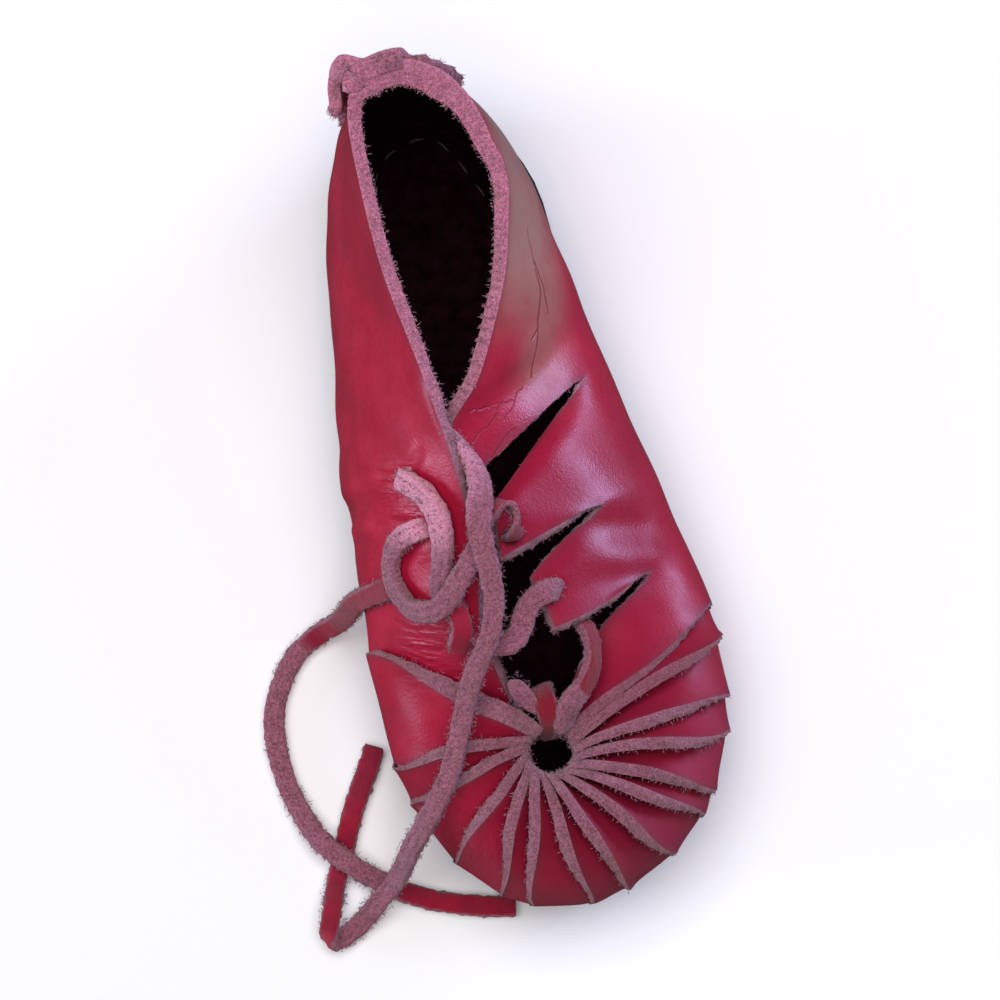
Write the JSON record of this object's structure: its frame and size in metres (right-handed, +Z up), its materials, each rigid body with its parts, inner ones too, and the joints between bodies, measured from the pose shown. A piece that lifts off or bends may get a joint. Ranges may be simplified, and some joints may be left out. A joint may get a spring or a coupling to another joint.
{
  "type": "child's leather shoe",
  "caption": "Child's low leather shoe folded from one hide, with slashed strips gathered round a toe hole, instep straps tied by a thong, and a lugged rubber outsole.",
  "frame": {"origin": "on the floor, under the middle of the shoe's plan without its loose lace", "axes": "+Z up, toe towards -Y, wearer's outer side towards +X"},
  "size_m": [0.0926, 0.1746, 0.0714],
  "materials": {
    "upper": "smooth red grain with suede cut edges",
    "outsole": "matt black",
    "thong": "suede"
  },
  "bodies": {
    "root": {"upper": "upper", "outsole": "outsole", "heel_flap": "upper", "lace_tuck": "thong", "lace_ring": "thong", "lace_bar": "thong", "lace_end_long": "thong", "lace_end_short": "thong", "toe_thong": "thong", "toe_knot": "thong", "toe_end": "thong"}
  },
  "joints": []
}
